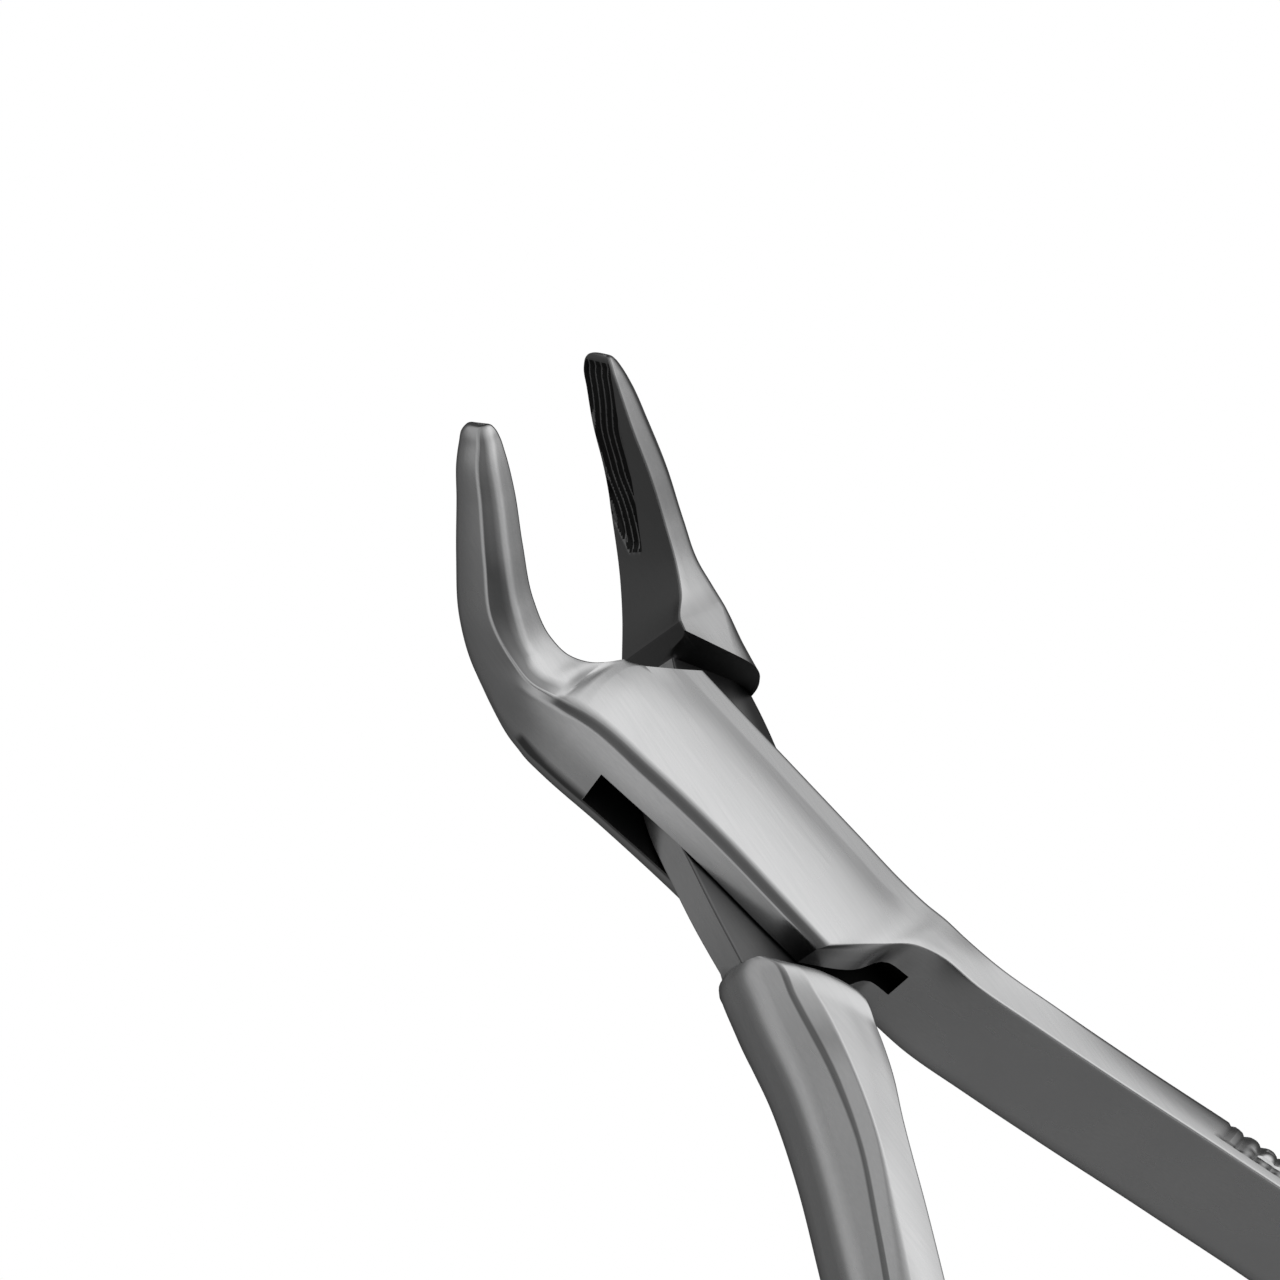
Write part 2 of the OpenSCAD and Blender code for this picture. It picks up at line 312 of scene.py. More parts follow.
WAIST_ROWS = [
    (-12.0, -7.65, -20.6, -1.6), (-10.0, -7.65, -17.0, -0.2), (-7.0, -7.65, -12.8, 3.0),
    (-2.0, -7.5, -9.0, 6.3), (3.0, -7.2, -3.0, 7.5), (8.0, -5.6, 5.0, 8.3),
    (11.0, -3.0, 9.0, 8.7), (13.2, 0.0, 11.2, 8.8), (17.9, 1.9, 12.3, 8.8),
]


def insert_root_keys():
    """Sections of the inserted half's handle from its swelling to the rear shoulder."""
    edges = {"T1": 0.2, "T5": EDGE, "L5": EDGE, "R1": 0.25, "R4": 0.5}
    swell = section(
        [(-26.6, -6.5, 14.9), (-27.0, -5.4, 14.95), (-27.3, -4.6, 14.95), (-27.6, -3.9, 14.95),
         (-27.9, -3.3, 14.95), (-28.2, -2.75, 14.9)],
        [(-28.2, -2.75, z) for z in (12.0, 9.0, 6.0, 3.0, 0)],
        [(-27.6, -4.4, 0), (-27.0, -6.2, 0)],
        [(-26.4, -7.3, 1.8), (-25.6, -9.8, 4.8), (-25.6, -9.8, 10.2), (-26.4, -7.4, 13.1)], edges)
    neck = section(
        [(-18.4, -5.55, 14.1), (-19.4, -4.5, 14.3), (-20.4, -3.6, 14.45), (-21.4, -2.7, 14.5),
         (-22.4, -1.95, 14.55), (-23.4, -1.55, 14.5)],
        [(-23.4, -1.5, 12.0), (-23.4, -1.5, 9.0), (-23.4, -1.5, 6.0), (-23.4, -1.5, 3.0), (-23.4, -1.6, 0)],
        [(-21.6, -3.6, 0), (-20.0, -5.4, 0)],
        [(-17.6, -7.2, 2.0), (-16.4, -9.0, 4.8), (-16.4, -9.0, 9.8), (-17.4, -7.1, 12.9)], edges)
    shoulder = section(
        [(-15.1, -5.6, 13.55), (-16.3, -3.9, 13.9), (-17.4, -2.9, 14.1), (-18.5, -2.0, 14.25),
         (-19.5, -1.4, 14.3), (-20.6, -1.15, 14.3)],
        [(-21.0, -1.15, 12.0), (-21.0, -1.15, 9.0), (-21.0, -1.2, 6.0), (-21.0, -1.3, 3.0), (-21.0, -1.6, 0)],
        [(-18.8, -3.6, 0), (-15.6, -5.4, 0.1)],
        [(-13.5, -7.0, 2.4), (-13.0, -8.75, 5.0), (-12.8, -8.45, 10.0), (-14.0, -7.05, 13.0)],
        {"T1": 0.2, "T5": 0.5, "L5": EDGE, "R1": 0.25, "R4": 0.5})
    lip = section(
        [(-13.9, -6.3, 12.7), (-15.3, -4.5, 13.1), (-16.7, -3.2, 13.4), (-18.0, -2.2, 13.6),
         (-19.2, -1.5, 13.7), (-20.5, -1.1, 13.6)],
        [(-20.9, -1.15, 12.0), (-20.9, -1.15, 9.0), (-20.9, -1.2, 6.0),
         (-20.9, -1.3, 3.0), (-20.9, -1.6, 0.1)],
        [(-18.6, -3.6, 0.1), (-15.4, -5.4, 0.2)],
        [(-13.0, -7.2, 2.6), (-12.1, -8.35, 5.2), (-12.1, -7.9, 9.7), (-12.6, -7.55, 11.8)],
        {"T1": 0.5, "T5": 0.5, "L5": EDGE, "R1": 0.5, "R4": 0.5})
    return [swell, neck, shoulder, lip]


def insert_beak_root():
    """First beak section in front of the front shoulder of the inserted half."""
    corners = {
        "T4": (18.9, 1.6, 13.15), "T4b": (14.0, 6.75, 12.95), "T5": (13.1, 7.5, 12.55),
        "L1": (12.7, 7.9, 11.9), "L2": (12.2, 8.75, 9.6), "L3": (12.2, 9.0, 5.4),
        "L4": (12.4, 8.1, 2.8), "L5": (15.0, 5.2, 0.4), "B": (18.6, 1.4, 0.2),
    }
    corners.update(column(18.5, 1.75, STEM, 12.5, 0.9))
    return corners, {"T4": EDGE, "T5": 0.35, "L1": 0.5, "L3": 0.6, "B": 0.3}


# ---------------------------------------------------------------- skin


def as_arrays(key):
    """Corner points and edge radii of one key section, in the order of CORNERS."""
    corners, edges = key
    points = np.array([corners[name] for name in CORNERS], float)
    radii = np.array([edges.get(name, SOFT) for name in CORNERS])
    return points, radii


def draw_through(keys, steps, creases):
    """Smooth rows of sections through the key sections. creases maps a key section to
    the corners whose path bends sharply there."""
    points, radii = zip(*[as_arrays(k) for k in keys])
    points, radii = np.array(points), np.array(radii)
    gaps = np.maximum(np.linalg.norm(np.diff(points, axis=0), axis=2), 1e-6)
    slopes = np.diff(points, axis=0) / gaps[:, :, None]
    last = len(keys) - 1
    behind = np.concatenate([slopes[:1], slopes])
    ahead = np.concatenate([slopes, slopes[-1:]])
    near, far = np.concatenate([gaps[:1], gaps]), np.concatenate([gaps, gaps[-1:]])
    smooth = (behind * far[:, :, None] + ahead * near[:, :, None]) / (near + far)[:, :, None]
    into, out = smooth.copy(), smooth.copy()
    for key, names in creases.items():
        which = [C[name] for name in names]
        into[key, which] = behind[key, which]
        out[key, which] = ahead[key, which]
    rows, row_radii = [], []
    for i in range(last):
        g = gaps[i][:, None]
        for step in range(steps[i]):
            t = step / steps[i]
            rows.append((2 * t ** 3 - 3 * t ** 2 + 1) * points[i] + (t ** 3 - 2 * t ** 2 + t) * g * out[i]
                        + (3 * t ** 2 - 2 * t ** 3) * points[i + 1] + (t ** 3 - t ** 2) * g * into[i + 1])
            row_radii.append(radii[i] + t * (radii[i + 1] - radii[i]))
    rows.append(points[-1])
    row_radii.append(radii[-1])
    return np.array(rows), np.array(row_radii)


def round_sections(rows, radii):
    """Turns each row of corners into a closed outline with rounded corners. Returns
    the outlines and, for each point, the corner that it comes from and its share of
    the way to the next corner."""
    count = len(CORNERS)
    before = np.roll(rows, 1, axis=1)
    after = np.roll(rows, -1, axis=1)

    def arm(target):
        """Where the rounding of each corner meets the side towards target."""
        way = target - rows
        length = np.maximum(np.linalg.norm(way, axis=2), 1e-6)
        reach = np.minimum(radii, 0.48 * length)
        return rows + way / length[:, :, None] * reach[:, :, None]

    start, end = arm(before), arm(after)
    outline, places = [], []
    for i, name in enumerate(CORNERS):
        for step in range(ARC_STEPS + 1):
            t = step / ARC_STEPS
            outline.append((1 - t) ** 2 * start[:, i] + 2 * t * (1 - t) * rows[:, i] + t * t * end[:, i])
            places.append(i)
        following = (i + 1) % count
        for step in range(1, BETWEEN[name] + 1):
            t = step / (BETWEEN[name] + 1)
            outline.append(end[:, i] + t * (start[:, following] - end[:, i]))
            places.append(i + t)
    return np.stack(outline, axis=1), np.array(places)


def cut_grooves(outline, places, rows):
    """Hollows the inner face of the beak and cuts its wavy lengthwise grooves, which
    start further up near the front edge. Returns how dark each point is: a mask of the
    groove hollows, where the black painted shade goes."""
    face = [i for i, p in enumerate(places) if p >= C["B"] or p <= C["T4"]]
    low, high = rows[:, C["B"]], rows[:, C["T4"]]
    across = high - low
    width = np.linalg.norm(across, axis=1)
    along = high[:, 0]
    dark = np.zeros(outline.shape[:2])
    for i in face:
        share = np.einsum("ij,ij->i", outline[:, i] - low, across) / width ** 2
        dist = share * width
        start = GROOVE_START + GROOVE_SLANT * (1 - smoothstep(0.4, 2.6, dist))
        length = smoothstep(start, start + 0.8, along)
        length = length * (1 - smoothstep(GROOVE_END - 0.8, GROOVE_END, along))
        inside = smoothstep(0.15, 0.4, dist - 0.7 * smoothstep(31, 27, along))
        inside = inside * (1 - smoothstep(4.0, 4.4, dist)) * (1 - smoothstep(0.86, 0.94, share))
        wave = 0.28 * np.sin(along * 0.55 + 1.2) + 0.05 * np.sin(along * 1.6)
        wave = wave - 1.3 * smoothstep(33, 27, along)
        ripple = 0.5 - 0.5 * np.cos(2 * math.pi * ((dist + wave - 0.4) / GROOVE_PITCH))
        outline[:, i, 1] += inside * length * (HOLLOW_DEPTH + GROOVE_DEPTH * ripple)
        dark[:, i] = smoothstep(0.01, 0.05, inside * length) * smoothstep(0.05, 0.2, ripple)
    return dark


def cut_grip(outline, places):
    """Cuts the cross-cut diamond grip round the back of the handle."""
    back = [i for i, p in enumerate(places) if p >= C["B"]]
    back += [i for i, p in enumerate(places) if p <= C["T4"]]
    line = outline[:, back]
    spans = np.linalg.norm(np.diff(line, axis=1), axis=2)
    girth = np.concatenate([np.zeros((len(outline), 1)), np.cumsum(spans, axis=1)], axis=1)
    total = girth[:, -1:].copy()
    tangent = np.gradient(line, axis=1)[:, :, 1:]
    length = np.maximum(np.linalg.norm(tangent, axis=2, keepdims=True), 1e-9)
    tangent = tangent / length
    inward = np.stack([-tangent[:, :, 1], tangent[:, :, 0]], axis=2)
    middle = outline[:, :, 1:].mean(axis=1)[:, None, :]
    facing = np.sign(((middle - line[:, :, 1:]) * inward).sum(axis=2, keepdims=True))
    inward *= facing
    x = line[:, :, 0]
    on = (1 - smoothstep(GRIP_END - 0.1, GRIP_END + 0.3, x)) * smoothstep(GRIP_START, GRIP_START + 3, x)
    rim = smoothstep(0.0, 0.4, girth) * smoothstep(0.0, 0.4, total - girth)
    cross = np.abs(((x - GRIP_END) / GRIP_PITCH) % 1 - 0.5) * 2
    ring = np.abs(((girth - total / 2) / GRIP_PITCH) % 1 - 0.5) * 2
    first = 1 - smoothstep(GRIP_END - 2.2 * GRIP_PITCH, GRIP_END - 1.2 * GRIP_PITCH, x)
    cut = np.maximum(cross ** 1.8, first * ring ** 1.8)
    outline[:, back, 1:] += (GRIP_DEPTH * on * rim * cut)[:, :, None] * inward


# Plain steel, then darker copies of it that paint shade: black in the slot, the bores and the groove hollows,
# then on the inserted half's waist and beak root, then on the beaks' inner faces.
COATS = ["satin_steel", "black_painted_shade", "joint_painted_shade", "beak_face_painted_shade"]
SATIN, BLACK_SHADE, JOINT_SHADE, BEAK_FACE_SHADE = range(4)


def skin(name, keys, steps, creases, patches, shades, mirrored):
    """Closed mesh through the sections, turned to the open position of its half.
    patches holds (first key, last key, first corner, last corner, coat); every coat but the
    steel is a darker copy of it that paints shade. shades holds (first key, last key, corner,
    part of its points, strength) for lines of painted shade kept in a layer of the mesh, and
    fades out at both ends. The part is all, first or last of the rounding, or after it."""
    rows, radii = draw_through(keys, steps, creases)
    outline, places = round_sections(rows, radii)
    dark = cut_grooves(outline, places, rows)
    cut_grip(outline, places)
    if mirrored:
        outline[:, :, 1] *= -1
    turn = -HALF_OPENING if mirrored else HALF_OPENING
    cos, sin = math.cos(turn), math.sin(turn)
    x, y = outline[:, :, 0].copy(), outline[:, :, 1].copy()
    outline[:, :, 0] = cos * x - sin * y
    outline[:, :, 1] = sin * x + cos * y
    outline *= MM
    sections, around = outline.shape[:2]
    points = [tuple(p) for p in outline.reshape(-1, 3)]
    points.append(tuple(outline[0].mean(axis=0)))
    points.append(tuple(outline[-1].mean(axis=0)))
    faces, coats = [], []
    starts = np.concatenate([[0], np.cumsum(steps)])
    areas = [(starts[k], starts[m], c, d, coat) for k, m, c, d, coat in patches]
    for s in range(sections - 1):
        for a in range(around):
            b = (a + 1) % around
            faces.append((s * around + a, s * around + b, (s + 1) * around + b, (s + 1) * around + a))
            coat = SATIN
            reach = places[b] if places[b] >= places[a] else ALL_ROUND
            for low, high, c, d, kind in areas:
                if low <= s < high and c <= places[a] and reach <= d:
                    coat = kind
            # Faces deep in the groove hollows take the black painted shade.
            if dark[s, a] + dark[s, b] + dark[s + 1, a] + dark[s + 1, b] > 2:
                coat = BLACK_SHADE
            coats.append(coat)
    first, last = sections * around, sections * around + 1
    for a in range(around):
        b = (a + 1) % around
        faces.append((b, a, first))
        faces.append(((sections - 1) * around + a, (sections - 1) * around + b, last))
        coats += [SATIN, SATIN]
    mesh = bpy.data.meshes.new(name)
    for coat in COATS:
        mesh.materials.append(bpy.data.materials[coat])
    mesh.from_pydata(points, [], faces)
    mesh.polygons.foreach_set("material_index", coats)
    # Painted shade along the given corners, kept in a layer that the steel reads to darken its colour.
    painted_shade = np.zeros((sections, around))
    count = np.arange(sections)
    for k, m, corner, part, amount in shades:
        fade = 0.12 * (starts[m] - starts[k]) + 1
        own = [i for i, place in enumerate(places) if place == corner]
        after = [i for i, place in enumerate(places) if corner < place < corner + 1]
        chosen = {"all": own, "first": own[:1], "last": own[-1:], "after": after}[part]
        along = amount * smoothstep(0, fade, count - starts[k]) * smoothstep(0, fade, starts[m] - count)
        painted_shade[:, chosen] = np.maximum(painted_shade[:, chosen], along[:, None])
    layer = mesh.attributes.new("painted_shade", "FLOAT", "POINT")
    layer.data.foreach_set("value", list(painted_shade.ravel()) + [0.0, 0.0])
    work = bmesh.new()
    work.from_mesh(mesh)
    bmesh.ops.remove_doubles(work, verts=work.verts, dist=0.004 * MM)
    bmesh.ops.dissolve_degenerate(work, edges=work.edges, dist=0.002 * MM)
    bmesh.ops.recalc_face_normals(work, faces=work.faces)
    work.to_mesh(mesh)
    work.free()
    piece = bpy.data.objects.new(name, mesh)
    bpy.context.collection.objects.link(piece)
    return piece


def with_painted_shade(cutter):
    """Gives a cutter the black painted shade that its cut faces take on."""
    cutter.data.materials.append(bpy.data.materials["black_painted_shade"])
    for face in cutter.data.polygons:
        face.material_index = 0
    return cutter


def prism(name, corners, low, high, turn):
    """Upright block over an outline, turned about the joint axis: a cutter."""
    cos, sin = math.cos(turn), math.sin(turn)
    ring = [(cos * x - sin * y, sin * x + cos * y) for x, y in corners]
    work = bmesh.new()
    base = [work.verts.new((x * MM, y * MM, low * MM)) for x, y in ring]
    top = [work.verts.new((x * MM, y * MM, high * MM)) for x, y in ring]
    work.faces.new(base[::-1])
    work.faces.new(top)
    for i in range(len(ring)):
        j = (i + 1) % len(ring)
        work.faces.new((base[i], base[j], top[j], top[i]))
    bmesh.ops.recalc_face_normals(work, faces=work.faces)
    mesh = bpy.data.meshes.new(name)
    work.to_mesh(mesh)
    work.free()
    cutter = bpy.data.objects.new(name, mesh)
    bpy.context.collection.objects.link(cutter)
    return cutter


def arc(radius, start, end, steps):
    """Points on a circle about the joint axis, angles in degrees."""
    return [(radius * math.cos(math.radians(start + (end - start) * i / steps)),
             radius * math.sin(math.radians(start + (end - start) * i / steps))) for i in range(steps + 1)]


def cut(piece, cutter):
    """Cuts the cutter out of the piece and throws it away."""
    step = piece.modifiers.new("cut", "BOOLEAN")
    step.operation = "DIFFERENCE"
    step.solver = "EXACT"
    step.object = cutter
    bpy.context.view_layer.update()
    done = bpy.data.meshes.new_from_object(piece.evaluated_get(bpy.context.evaluated_depsgraph_get()))
    piece.modifiers.clear()
    piece.data = done
    bpy.data.objects.remove(cutter)


def smooth_faces(piece, angle=32):
    """Smooth shading with crisp edges where faces meet at more than the angle."""
    work = bmesh.new()
    work.from_mesh(piece.data)
    for face in work.faces:
        face.smooth = True
    for edge in work.edges:
        edge.smooth = len(edge.link_faces) == 2 and edge.calc_face_angle(0) < math.radians(angle)
    work.to_mesh(piece.data)
    work.free()
    normals = piece.modifiers.new("weighted normals", "WEIGHTED_NORMAL")
    normals.keep_sharp = True


# Numbers of rows between the key sections of the handle and of the beak.
HANDLE_STEPS = [2, 3, 5, 14, 48, 80, 80, 70, 24, 12]
BEAK_STEPS = [10, 10, 14, 16, 16, 14, 8, 5, 4, 3, 2]
BEND_RIDGE = 0.13          # place of the ridge at the bend of the box half's beak


def make_box_half():
    """Half with the slotted box."""
    keys = [handle_key(r) for r in HANDLE_ROWS]
    keys.append(handle_key((-25.5, -2.4, 7.2, 0.0, 14.9)))
    keys += box_rear_keys()
    corner = len(keys) - 1
    keys.append(box_middle_key(-8.0, 0.0, [5.8, 6.4, 6.9, 7.2, 6.6]))
    keys.append(box_middle_key(0.0, 1.0, [5.8, 6.5, 7.2, 7.6, 7.1]))
    keys.append(box_middle_key(7.0, 2.5, [6.4, 7.1, 8.0, 8.5, 7.9]))
    keys += box_front_keys()
    front = len(keys) - 5
    keys.append(beak_key(BEAK_ROWS[2][:6] + (BEND_RIDGE,)))
    keys += [beak_key(r) for r in BEAK_ROWS[3:] + BOX_TIP_ROWS]
    creases = {corner: ["T5"] + BELOW_TOP, front: STEM, front + 1: STEM + ["T4", "T4b"], front + 2: ["T4b"]}
    steps = HANDLE_STEPS + [8, 6, 6, 5, 8, 8, 8, 8, 8, 5, 4, 8, 8, 8] + BEAK_STEPS[2:]
    end = len(keys) - 1
    bend, beak = front + 3, front + 2
    # Lines of painted shade along the box's chamfer, its lower side edge and the beak's ridge.
    shades = [
        (corner - 1, bend, C["T5"], "all", 0.55), (corner - 1, bend, C["T5"], "after", 0.62),
        (corner - 1, bend, C["L1"], "first", 0.5), (corner, bend, C["L3"], "all", 0.75),
        (beak, end, C["T5"], "first", 0.62), (beak, end, C["T4b"], "after", 0.6),
        (beak, end, C["T4b"], "last", 0.35),
    ]
    # The beak's inner face takes a darker copy of the steel that paints its shade.
    patches = [(beak, end, C["B"], ALL_ROUND, BEAK_FACE_SHADE), (beak, end, 0, C["T4"], BEAK_FACE_SHADE)]
    piece = skin("box_half_steel", keys, steps, creases, patches, shades, False)
    slot = [(26, 0.1)] + arc(SLOT_FRONT_RADIUS, 0.4, 90, 24)
    slot += [(-24, SLOT_FRONT_RADIUS), (-24, 2), (-20.6, -0.6), (-20.6, -3.4)]
    slot += arc(SLOT_REAR_RADIUS, 191, 270, 20) + [(4, -SLOT_REAR_RADIUS), (26, -12)]
    # The cut faces of the slot and the bore take the black painted shade.
    cut(piece, with_painted_shade(prism("slot", slot, *SLOT, HALF_OPENING)))
    cut(piece, with_painted_shade(prism("bore", arc(PIN_RADIUS + PRESS_GAP, 0, 352.5, 47), *BORE, 0)))
    return piece


def make_insert_half():
    """Half whose waist passes through the slot."""
    keys = [handle_key(r) for r in HANDLE_ROWS]
    keys += insert_root_keys()
    rear = len(keys) - 1
    keys += [waist_key(*row) for row in WAIST_ROWS]
    front = len(keys) - 1
    keys.append(insert_beak_root())
    keys += [beak_key(BEAK_ROWS[0], 0.77), beak_key(BEAK_ROWS[1], 0.68)]
    keys += [beak_key(r) for r in BEAK_ROWS[2:] + INSERT_TIP_ROWS]
    creases = {rear: CORNERS, rear + 1: CORNERS, front: CORNERS, front + 1: CORNERS, front + 2: STEM}
    steps = HANDLE_STEPS + [6, 12, 8, 4, 3] + [4] * 8 + [3, 6] + BEAK_STEPS
    end = len(keys) - 1
    # The beak's inner face takes a darker copy of the steel that paints its shade; the waist and the beak's
    # root take another darker copy that paints their shade in the joint.
    patches = [
        (front + 1, end, C["B"], ALL_ROUND, BEAK_FACE_SHADE), (front + 1, end, 0, C["T4"], BEAK_FACE_SHADE),
        (rear, front + 1, 0, C["B"], JOINT_SHADE), (front, front + 2, C["B"], ALL_ROUND, JOINT_SHADE),
        (front + 1, front + 2, 0, C["T4"], JOINT_SHADE),
    ]
    # A line of painted shade along the back edge of the handle, up to the rear shoulder.
    shades = [(8, rear, C["R1"], "all", 0.6)]
    piece = skin("insert_half_steel", keys, steps, creases, patches, shades, True)
    # The cut faces of the bore take the black painted shade.
    cut(piece, with_painted_shade(prism("bore", arc(PIN_RADIUS + RUNNING_GAP, 0, 352.5, 47), *BORE, 0)))
    return piece


# ---------------------------------------------------------------- steel and painted shade


def steel(name, tone, roughness):
    """Polished stainless steel: fine brushed grain, uneven shine, painted shade in its
    crevices, and the darker lines of painted shade that a mesh marks in a layer of its own."""
    material = bpy.data.materials.new(name)
    material.use_nodes = True
    nodes, links = material.node_tree.nodes, material.node_tree.links
    shader = nodes["Principled BSDF"]
    shader.inputs["Metallic"].default_value = 1.0
    place = nodes.new("ShaderNodeTexCoord")
    stretch = nodes.new("ShaderNodeMapping")
    stretch.inputs["Scale"].default_value = (60, 1400, 1400)
    links.new(place.outputs["Object"], stretch.inputs["Vector"])
    grain = nodes.new("ShaderNodeTexNoise")
    grain.inputs["Scale"].default_value = 3.0
    grain.inputs["Detail"].default_value = 4.0
    links.new(stretch.outputs["Vector"], grain.inputs["Vector"])
    blotch = nodes.new("ShaderNodeTexNoise")
    blotch.inputs["Scale"].default_value = 90.0
    blotch.inputs["Detail"].default_value = 3.0
    links.new(place.outputs["Object"], blotch.inputs["Vector"])
    shine = nodes.new("ShaderNodeMapRange")
    shine.inputs["To Min"].default_value = roughness - 0.05
    shine.inputs["To Max"].default_value = roughness + 0.07
    links.new(blotch.outputs["Fac"], shine.inputs["Value"])
    links.new(shine.outputs["Result"], shader.inputs["Roughness"])
    colour = nodes.new("ShaderNodeValToRGB")
    colour.color_ramp.elements[0].position = 0.3
    colour.color_ramp.elements[0].color = (tone * 0.94, tone * 0.945, tone * 0.95, 1)
    colour.color_ramp.elements[1].position = 0.7
    colour.color_ramp.elements[1].color = (tone, tone, tone * 1.005, 1)
    links.new(grain.outputs["Fac"], colour.inputs["Fac"])
    # Painted shade: an occlusion node darkens the colour in crevices and recesses, down to 0.12 of it.
    crevice_occlusion = nodes.new("ShaderNodeAmbientOcclusion")
    crevice_occlusion.samples = 8
    crevice_occlusion.inputs["Distance"].default_value = 4.5 * MM
    painted_crevice_shade = nodes.new("ShaderNodeMapRange")
    painted_crevice_shade.inputs["From Min"].default_value = 0.30
    painted_crevice_shade.inputs["From Max"].default_value = 0.72
    painted_crevice_shade.inputs["To Min"].default_value = 0.12
    painted_crevice_shade.inputs["To Max"].default_value = 1.0
    links.new(crevice_occlusion.outputs["AO"], painted_crevice_shade.inputs["Value"])
    shade = nodes.new("ShaderNodeMix")
    shade.data_type = "RGBA"
    shade.blend_type = "MULTIPLY"
    shade.inputs["Factor"].default_value = 1.0
    links.new(colour.outputs["Color"], shade.inputs[6])
    # Painted shade: a layer of the mesh darkens the colour along lines of painted shade.
    painted_line_shade = nodes.new("ShaderNodeAttribute")
    painted_line_shade.attribute_name = "painted_shade"
    lighter = nodes.new("ShaderNodeMath")
    lighter.operation = "SUBTRACT"
    lighter.inputs[0].default_value = 1.0
    links.new(painted_line_shade.outputs["Fac"], lighter.inputs[1])
    both = nodes.new("ShaderNodeMath")
    both.operation = "MULTIPLY"
    links.new(painted_crevice_shade.outputs["Result"], both.inputs[0])
    links.new(lighter.outputs["Value"], both.inputs[1])
    links.new(both.outputs["Value"], shade.inputs[7])
    links.new(shade.outputs[2], shader.inputs["Base Color"])
    bump = nodes.new("ShaderNodeBump")
    bump.inputs["Strength"].default_value = 0.05
    bump.inputs["Distance"].default_value = 0.02 * MM
    links.new(grain.outputs["Fac"], bump.inputs["Height"])
    links.new(bump.outputs["Normal"], shader.inputs["Normal"])
    return material


def dress(piece, material):
    """Gives the whole piece one material."""
    piece.data.materials.clear()
    piece.data.materials.append(material)


# ---------------------------------------------------------------- camera, floor, light

RIGHT = Vector((-0.58, -0.69, 0.43))        # right of the picture
TOWARD = Vector((-0.148, 0.609, 0.779))     # from the object to the camera
VIEW_DISTANCE = 500.0
VIEW_WIDTH = 118.5185                       # width of the view at the joint
PIVOT_SHIFT = (11.574, -15.556)             # place of the joint right of and above the middle
SENSOR = 36


def make_camera():
    """Long lens above the near handle, turned so that the beaks rise to the upper left."""
    toward = TOWARD.normalized()
    right = (RIGHT - RIGHT.dot(toward) * toward).normalized()
    up = toward.cross(right)
    camera = bpy.data.cameras.new("camera")
    camera.sensor_width = SENSOR
    camera.lens = SENSOR * VIEW_DISTANCE / VIEW_WIDTH
    camera.clip_start = 0.01
    camera.clip_end = 20
    holder = bpy.data.objects.new("camera", camera)
    bpy.context.collection.objects.link(holder)
    pivot = Vector((0, 0, PLATE_TOP))
    place = pivot + toward * VIEW_DISTANCE - right * PIVOT_SHIFT[0] - up * PIVOT_SHIFT[1]
    turn = Matrix((right, up, toward)).transposed().to_4x4()
    holder.matrix_world = Matrix.Translation(place * MM) @ turn
    bpy.context.scene.camera = holder


FLOOR_HALF = 6.0           # half the side of the floor, in metres
FLOOR_DROP = 0.0002        # floor below the object's flat underside, in metres


def make_floor():
    """Plain white table top. Reflections see the studio's lower half in its place."""
    mesh = bpy.data.meshes.new("floor")
    work = bmesh.new()
    bmesh.ops.create_grid(work, x_segments=8, y_segments=8, size=FLOOR_HALF)
    work.to_mesh(mesh)
    work.free()
    floor = bpy.data.objects.new("floor", mesh)
    floor.location.z = -FLOOR_DROP
    bpy.context.collection.objects.link(floor)
    material = bpy.data.materials.new("table_top")
    material.use_nodes = True
    nodes, links = material.node_tree.nodes, material.node_tree.links
    nodes.clear()
    out = nodes.new("ShaderNodeOutputMaterial")
    mix = nodes.new("ShaderNodeMixShader")
    ray = nodes.new("ShaderNodeLightPath")
    seen = nodes.new("ShaderNodeEmission")
    seen.inputs["Color"].default_value = (1, 1, 1, 1)
    seen.inputs["Strength"].default_value = 1.0
    through = nodes.new("ShaderNodeBsdfTransparent")
    links.new(ray.outputs["Is Camera Ray"], mix.inputs["Fac"])
    links.new(through.outputs["BSDF"], mix.inputs[1])
    links.new(seen.outputs["Emission"], mix.inputs[2])
    links.new(mix.outputs["Shader"], out.inputs["Surface"])
    dress(floor, material)


def ramp_of(nodes, stops):
    """Grey colour ramp through (position, value) stops."""
    ramp = nodes.new("ShaderNodeValToRGB")
    while len(ramp.color_ramp.elements) < len(stops):
        ramp.color_ramp.elements.new(0.5)
    for element, (position, value) in zip(ramp.color_ramp.elements, stops):
        element.position = position
        element.color = (value, value, value, 1)
    return ramp


# Brightness of the studio by height, where 0 is straight down, 0.5 level and 1 straight
# up: beyond the object, on the near side, and on the near side in front of the beaks.
FAR_SIDE = [(0.0, 0.05), (0.45, 0.06), (0.56, 0.15), (0.66, 0.28), (0.74, 0.38), (0.80, 0.50), (0.89, 0.86),
            (0.96, 1.15), (1.0, 1.2)]
NEAR_SIDE = [(0.0, 0.12), (0.11, 0.14), (0.17, 0.16), (0.22, 0.18), (0.28, 0.32), (0.34, 0.48), (0.44, 0.50),
             (0.51, 0.56), (0.57, 0.42), (0.64, 0.38), (0.68, 0.30), (0.75, 0.44), (0.92, 0.60), (1.0, 0.95)]
BEAK_SIDE = [(0.0, 0.12), (0.11, 0.14), (0.165, 0.18), (0.26, 0.40), (0.36, 0.62), (0.45, 0.60), (0.51, 0.50),
             (0.57, 0.20), (0.62, 0.06), (0.66, 0.10), (0.72, 0.40), (0.80, 0.50), (0.92, 0.62), (1.0, 0.95)]


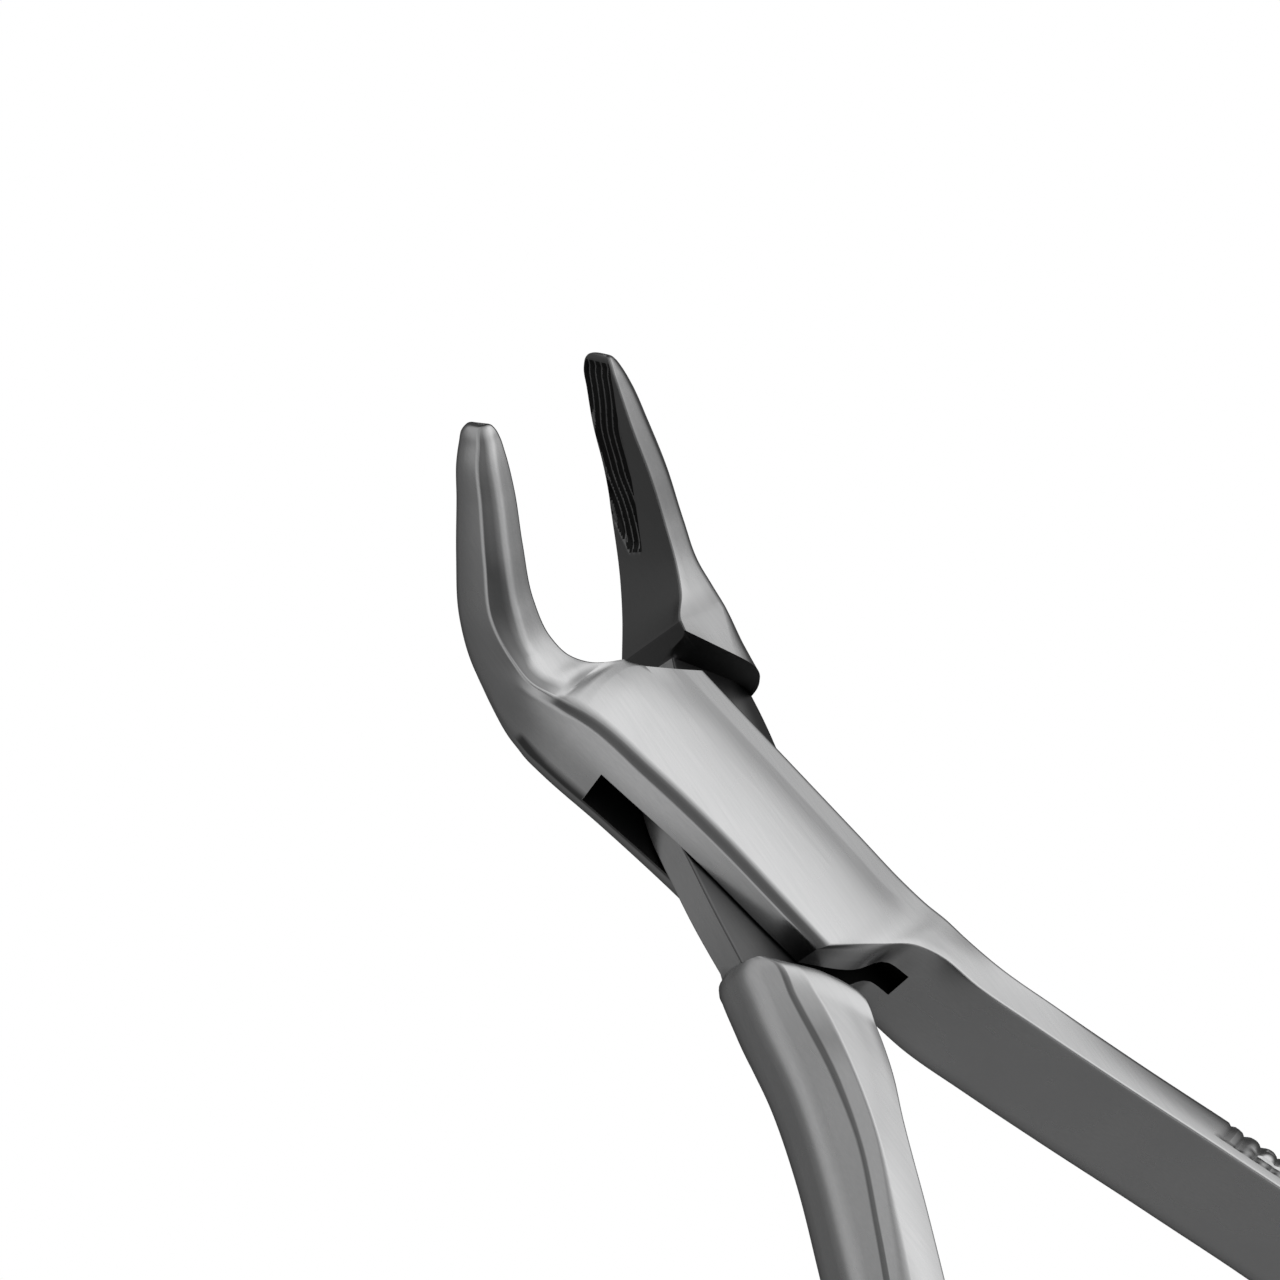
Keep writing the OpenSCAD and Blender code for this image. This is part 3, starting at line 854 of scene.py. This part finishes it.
def make_surroundings():
    """Studio that gets brighter overhead and beyond the object, and is white where the
    camera sees it."""
    world = bpy.data.worlds.new("studio")
    bpy.context.scene.world = world
    world.use_nodes = True
    nodes, links = world.node_tree.nodes, world.node_tree.links
    nodes.clear()
    out = nodes.new("ShaderNodeOutputWorld")
    place = nodes.new("ShaderNodeTexCoord")
    split = nodes.new("ShaderNodeSeparateXYZ")
    links.new(place.outputs["Generated"], split.inputs["Vector"])
    height = nodes.new("ShaderNodeMapRange")
    height.inputs["From Min"].default_value = -1
    height.inputs["From Max"].default_value = 1
    links.new(split.outputs["Z"], height.inputs["Value"])
    side = nodes.new("ShaderNodeMapRange")
    side.interpolation_type = "SMOOTHSTEP"
    side.inputs["From Min"].default_value = -0.35
    side.inputs["From Max"].default_value = 0.3
    links.new(split.outputs["Y"], side.inputs["Value"])
    blend = nodes.new("ShaderNodeMix")
    blend.data_type = "RGBA"
    links.new(side.outputs["Result"], blend.inputs["Factor"])
    front = nodes.new("ShaderNodeMapRange")
    front.interpolation_type = "SMOOTHSTEP"
    front.inputs["From Min"].default_value = -0.1
    front.inputs["From Max"].default_value = -0.4
    links.new(split.outputs["X"], front.inputs["Value"])
    near = nodes.new("ShaderNodeMix")
    near.data_type = "RGBA"
    links.new(front.outputs["Result"], near.inputs["Factor"])
    links.new(near.outputs[2], blend.inputs[7])
    sides = ((FAR_SIDE, blend.inputs[6]), (NEAR_SIDE, near.inputs[6]), (BEAK_SIDE, near.inputs[7]))
    for stops, socket in sides:
        ramp = ramp_of(nodes, stops)
        links.new(height.outputs["Result"], ramp.inputs["Fac"])
        links.new(ramp.outputs["Color"], socket)
    lit = nodes.new("ShaderNodeBackground")
    links.new(blend.outputs[2], lit.inputs["Color"])
    seen = nodes.new("ShaderNodeBackground")
    seen.inputs["Color"].default_value = (1, 1, 1, 1)
    mix = nodes.new("ShaderNodeMixShader")
    ray = nodes.new("ShaderNodeLightPath")
    links.new(ray.outputs["Is Camera Ray"], mix.inputs["Fac"])
    links.new(lit.outputs["Background"], mix.inputs[1])
    links.new(seen.outputs["Background"], mix.inputs[2])
    links.new(mix.outputs["Shader"], out.inputs["Surface"])


def soft_light(name, place, target, size, power):
    """Large soft lamp that looks at a point, all in millimetres."""
    lamp = bpy.data.lights.new(name, "AREA")
    lamp.shape = "RECTANGLE"
    lamp.size, lamp.size_y = size[0] * MM, size[1] * MM
    lamp.energy = power
    holder = bpy.data.objects.new(name, lamp)
    bpy.context.collection.objects.link(holder)
    way = (Vector(place) - Vector(target)).normalized()
    turn = way.to_track_quat("Z", "Y").to_matrix().to_4x4()
    holder.matrix_world = Matrix.Translation(Vector(place) * MM) @ turn


# ---------------------------------------------------------------- the object

make_camera()
make_floor()
make_surroundings()
soft_light("overhead", (150, -420, 520), (0, 0, 0), (300, 300), 0.03)

steel("satin_steel", 0.62, 0.26)
# Near-black copy of the steel: painted shade in the slot, the bores and the groove hollows.
steel("black_painted_shade", 0.03, 0.5)
# Darker copy of the steel: painted shade on the inserted half's waist and beak root.
steel("joint_painted_shade", 0.14, 0.36)
# Darker copy of the steel: painted shade on the beaks' inner faces.
steel("beak_face_painted_shade", 0.23, 0.32)

box_half = make_box_half()
insert_half = make_insert_half()
for piece, node, body, slot in (
    (box_half, "box_half", "box_side", "steel_box_half"),
    (insert_half, "insert_half", "insert_side", "steel_insert_half"),
):
    smooth_faces(piece)
    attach(piece, body)
    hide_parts(node)

dress(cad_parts["joint_pin"], steel("pin_steel", 0.62, 0.25))

bpy.context.scene.view_settings.view_transform = "Standard"
